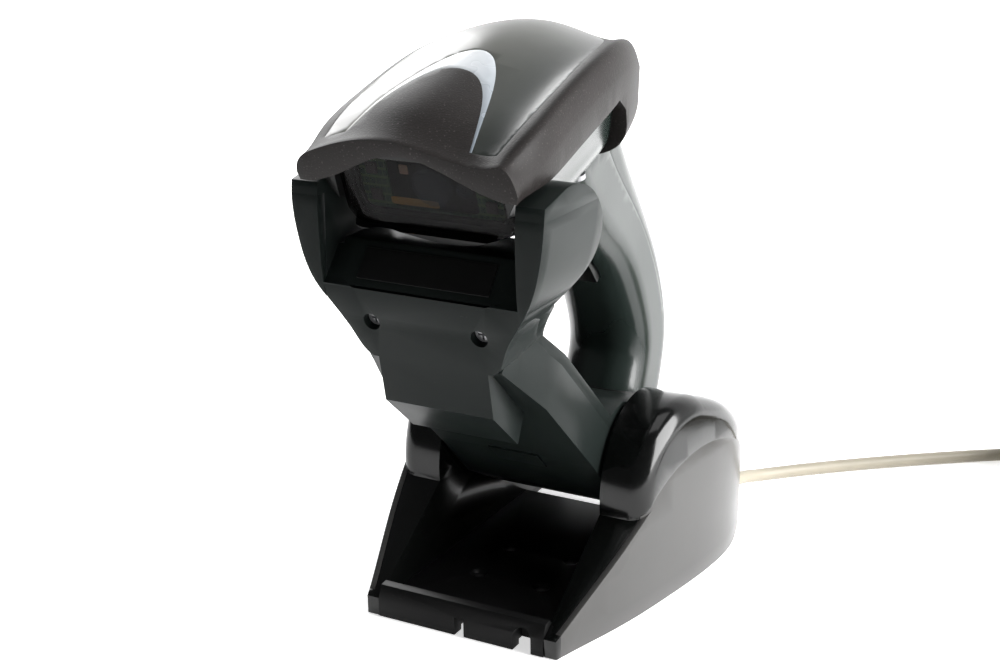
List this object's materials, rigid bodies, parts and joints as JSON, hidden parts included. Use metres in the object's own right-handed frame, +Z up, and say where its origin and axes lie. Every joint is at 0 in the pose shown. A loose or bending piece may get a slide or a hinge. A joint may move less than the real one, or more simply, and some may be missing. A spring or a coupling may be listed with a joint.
{
  "type": "cradle barcode scanner",
  "caption": "Hooded handheld barcode scanner with a curved handle and trigger, standing in a tilting charging cradle on a low base with a cable.",
  "frame": {"origin": "on the table under the middle of the bounding box of the base, cradle and scanner, measured without the free cable", "axes": "+Z up; +Y from the base's front lip to its back; +X to the right as seen from the front, across the cradle and along the tilt axis"},
  "size_m": [0.2564, 0.2797, 0.186],
  "materials": {
    "holder_plastic": "satin",
    "base_plastic": "gloss hub, dull inside",
    "tray_plastic": "matt",
    "panel_plastic": "satin graphite",
    "hood_rubber": "fine speckled",
    "plate_plastic": "satin",
    "guide_plastic": "frosted silver",
    "shell_plastic": "gloss",
    "black_plastic": "satin",
    "window_glass": "clear dark",
    "lens_glass": "clear",
    "circuit_board": "satin",
    "lamp_white": "diffuse",
    "steel": "brushed",
    "zinc_weight": "rough",
    "gold_contact": "plated",
    "foot_rubber": "matt",
    "battery_wrap": "satin",
    "clear_plastic": "clear moulded",
    "cable_sheath": "satin",
    "plug_shell": "polished"
  },
  "bodies": {
    "base": {"base_tray": "tray_plastic", "bottom_plate": "tray_plastic", "right_cheek_housing": "base_plastic", "left_cheek_housing": "base_plastic", "right_side_panel": "panel_plastic", "left_side_panel": "panel_plastic", "pivot_bushes": "black_plastic", "base_screws": "steel", "rubber_feet": "foot_rubber", "ballast_weights": "zinc_weight", "base_board": "circuit_board", "host_socket": "black_plastic", "plug_body": "clear_plastic", "plug_boot": "cable_sheath", "cable_tube": "cable_sheath", "cable_coil": "cable_sheath", "cable_tail": "cable_sheath", "cable_tie": "black_plastic", "usb_boot": "cable_sheath", "usb_plug": "plug_shell"},
    "holder": {"holder_front_shell": "holder_plastic", "holder_rear_shell": "holder_plastic", "blank_panel": "black_plastic", "yoke_screws": "steel", "tilt_drum": "black_plastic", "tilt_axle": "steel", "friction_rings": "black_plastic", "axle_clips": "steel", "handle_socket": "black_plastic", "contact_block": "black_plastic", "contact_board": "circuit_board", "button_spring": "steel"},
    "tilt_button": {"tilt_button": "holder_plastic"},
    "charging_pins": {"charging_pins": "gold_contact"},
    "scanner": {"bumper": "hood_rubber", "top_plate": "plate_plastic", "light_guide": "guide_plastic", "nose_bezel": "black_plastic", "head_upper_shell": "shell_plastic", "head_lower_shell": "shell_plastic", "handle_front_shell": "shell_plastic", "handle_rear_shell": "shell_plastic", "butt_cap": "black_plastic", "contact_strips": "gold_contact", "scan_window": "window_glass", "window_gasket": "foot_rubber", "engine_housing": "black_plastic", "engine_lens": "lens_glass", "aiming_lamp": "lens_glass", "illumination_board": "circuit_board", "lamp_blocks": "lamp_white", "main_board": "circuit_board", "board_parts": "black_plastic", "sounder": "black_plastic", "battery": "battery_wrap", "trigger_pin": "steel", "trigger_spring": "steel", "micro_switch": "black_plastic", "scanner_screws": "steel"},
    "trigger": {"trigger": "black_plastic"}
  },
  "joints": [
    {"name": "holder_tilt", "type": "hinge", "parent": "base", "child": "holder", "pos_m": [0, 0.01447, 0.037], "axis": [1, 0, 0], "range_deg": [0, 44]},
    {"name": "scanner_lift", "type": "slide", "parent": "holder", "child": "scanner", "axis": [0, 0.3629, 0.9318], "range_m": [0, 0.09]},
    {"name": "trigger_pull", "type": "hinge", "parent": "scanner", "child": "trigger", "pos_m": [0, 0.01247, 0.1205], "axis": [1, 0, 0], "range_deg": [0, 6], "stiffness_Nm_per_rad": 0.6, "springref_deg": -8.59},
    {"name": "tilt_button_press", "type": "slide", "parent": "holder", "child": "tilt_button", "axis": [0, 0.6691, 0.7431], "range_m": [0, 0.0015], "stiffness_N_per_m": 800, "springref_m": -0.001},
    {"name": "charging_pin_press", "type": "slide", "parent": "holder", "child": "charging_pins", "axis": [0, -0.3629, -0.9318], "range_m": [0, 0.0008], "stiffness_N_per_m": 400, "springref_m": -0.0006}
  ]
}
